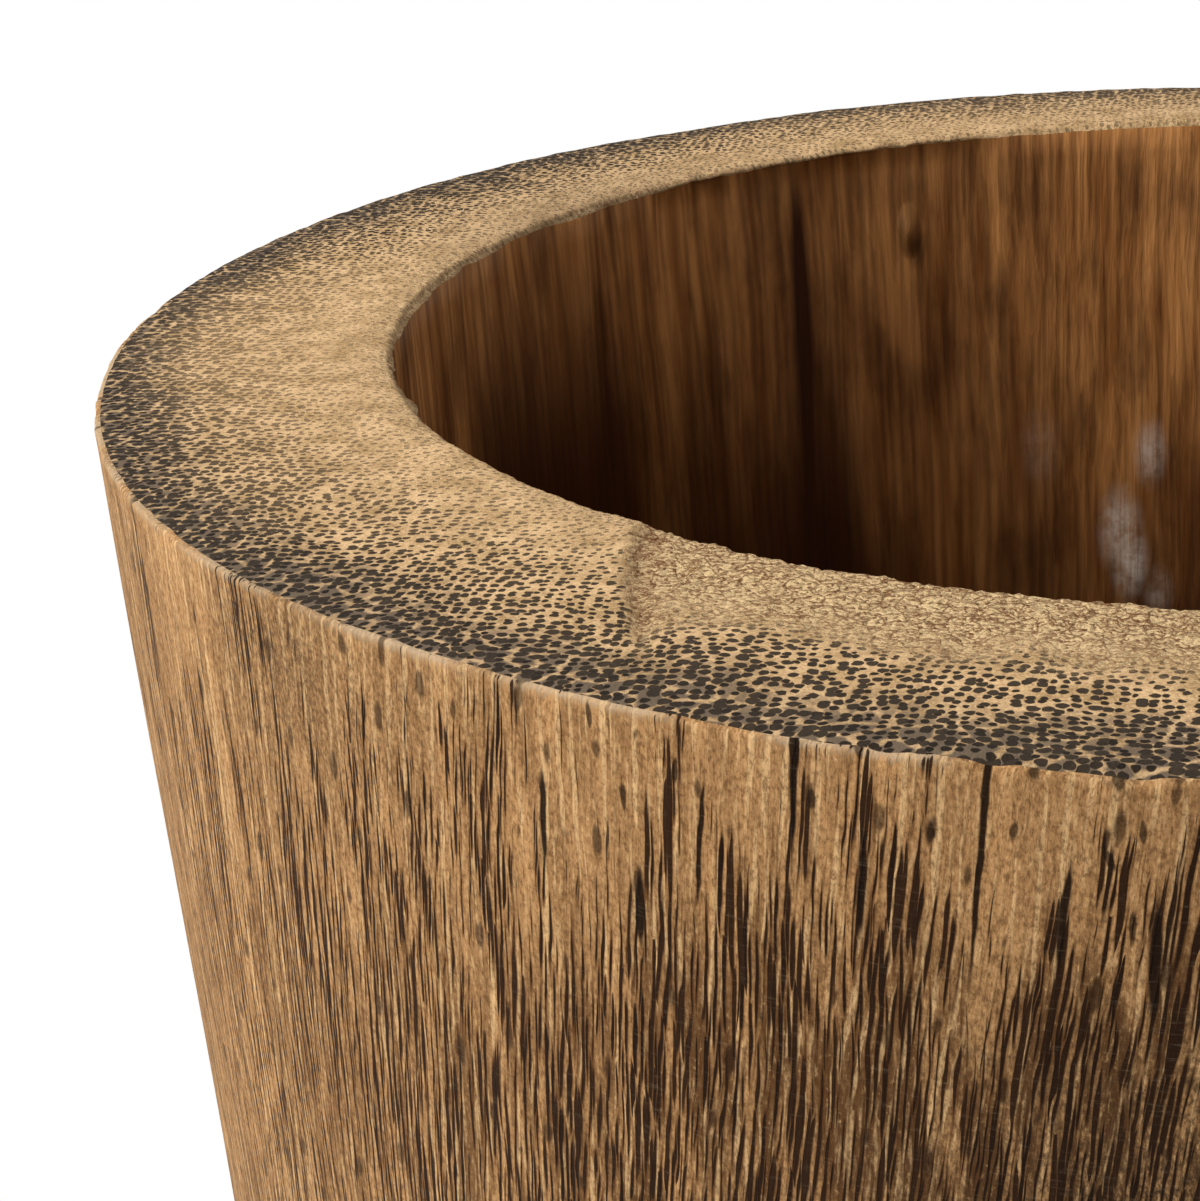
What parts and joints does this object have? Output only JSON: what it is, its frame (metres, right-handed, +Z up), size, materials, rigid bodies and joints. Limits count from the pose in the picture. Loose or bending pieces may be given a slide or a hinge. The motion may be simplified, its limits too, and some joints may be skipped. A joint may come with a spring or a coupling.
{
  "type": "wooden flower pot",
  "caption": "Thick-walled tapered flower pot turned from a palm trunk, bored through, with a screwed and sealed floor, a drain hole and rubber pads.",
  "frame": {"origin": "centre of the footprint on the ground, under the pot's axis", "axes": "+Z up along the pot's axis; the picture looks roughly along +Y"},
  "size_m": [0.214, 0.2258, 0.2],
  "materials": {
    "palm_wood": "turned and sanded palm wood, oiled outside, sealed dark inside",
    "sealed_palm_wood": "palm plank under a brushed dark sealer, satin",
    "sealant": "tooled brown elastic sealant",
    "screw_steel": "yellow-passivated zinc plate",
    "pad_rubber": "matt moulded rubber"
  },
  "bodies": {
    "root": {"pot_wall": "palm_wood", "floor_disc": "sealed_palm_wood", "seal_bead": "sealant", "floor_screw_1": "screw_steel", "floor_screw_2": "screw_steel", "floor_screw_3": "screw_steel", "floor_screw_4": "screw_steel", "foot_pad_1": "pad_rubber", "foot_pad_2": "pad_rubber", "foot_pad_3": "pad_rubber", "foot_pad_4": "pad_rubber"}
  },
  "joints": []
}
